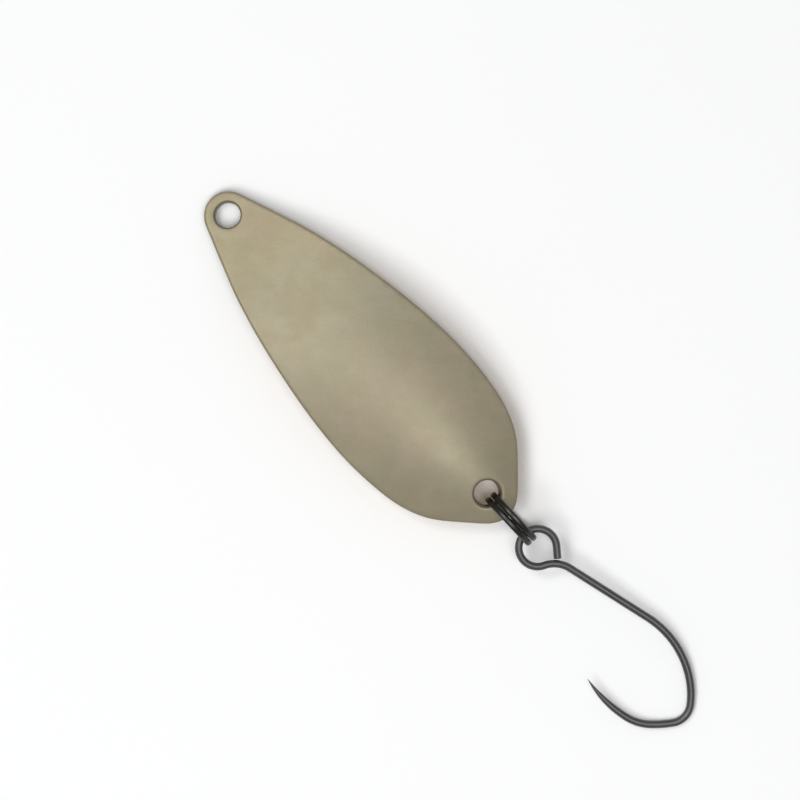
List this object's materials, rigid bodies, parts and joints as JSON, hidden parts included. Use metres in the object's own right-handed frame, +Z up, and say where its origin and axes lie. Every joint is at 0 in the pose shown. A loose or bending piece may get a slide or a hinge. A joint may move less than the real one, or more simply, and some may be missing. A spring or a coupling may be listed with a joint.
{
  "type": "casting spoon lure",
  "caption": "Small trout casting spoon: a leaf-shaped stamped brass blade with a painted convex front, a split ring at the tail and a single barbless hook.",
  "frame": {"origin": "under the middle of the whole lure, on the surface that it lies on", "axes": "+X from the line eye to the bend of the hook, +Z up out of the painted convex face"},
  "size_m": [0.0536, 0.0122, 0.0048],
  "materials": {
    "gold_brass": "gold-plated stamped sheet, slightly brushed, with a smoked black nose",
    "front_paint": "matte khaki baked paint with a slight sheen",
    "ring_black_nickel": "black nickel on spring steel",
    "hook_black_nickel": "black nickel on high-carbon steel wire"
  },
  "bodies": {
    "blade": {"spoon_blade": "gold_brass", "front_enamel": "front_paint"},
    "ring": {"split_ring": "ring_black_nickel"},
    "hook": {"hook": "hook_black_nickel"}
  },
  "joints": [
    {"name": "ring_turn", "type": "hinge", "parent": "blade", "child": "ring", "pos_m": [0.00648, 0, 0.00242], "axis": [0, -1, 0], "range_deg": [-95, 150]},
    {"name": "hook_swing", "type": "hinge", "parent": "ring", "child": "hook", "pos_m": [0.00947, -0.00004, 0.00209], "axis": [0.1045, 0, 0.9945], "range_deg": [-120, 120]}
  ]
}
